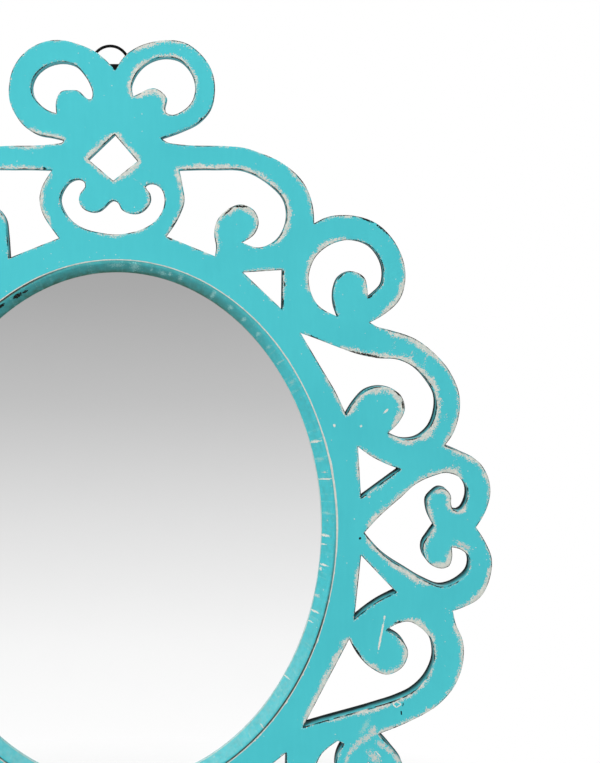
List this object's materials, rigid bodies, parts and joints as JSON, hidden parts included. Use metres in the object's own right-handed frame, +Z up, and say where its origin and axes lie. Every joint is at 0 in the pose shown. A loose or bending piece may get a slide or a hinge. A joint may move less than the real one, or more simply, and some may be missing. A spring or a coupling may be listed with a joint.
{
  "type": "wall mirror",
  "caption": "Oval wall mirror in a carved openwork wooden panel with scrolls, hearts and a looped crest, hung by a hinged ring.",
  "frame": {"origin": "centre of the oval, on the flat back of the backing board, which is flush with the panel's back", "axes": "+X to the viewer's right, +Y into the wall, +Z up; the viewer stands at -Y"},
  "size_m": [0.6036, 0.023, 0.7842],
  "materials": {
    "panel_paint": "distressed turquoise paint over cream primer",
    "liner_paint": "distressed turquoise paint over cream primer",
    "mirror": "silvered glass",
    "board": "raw hardboard",
    "black_steel": "black oxide",
    "zinc_screw": "zinc plated",
    "felt": "grey felt"
  },
  "bodies": {
    "mirror": {"fretwork_panel": "panel_paint", "oval_liner": "liner_paint", "mirror_glass": "mirror", "backing_board": "board", "backing_screws": "zinc_screw", "hanger_strap": "black_steel", "hanger_screws": "zinc_screw", "felt_pads": "felt"},
    "ring": {"hanger_ring": "black_steel"}
  },
  "joints": [
    {"name": "ring_hinge", "type": "hinge", "parent": "mirror", "child": "ring", "pos_m": [-0.006, 0.00206, 0.373], "axis": [-1, 0, 0], "range_deg": [0, 180]}
  ]
}
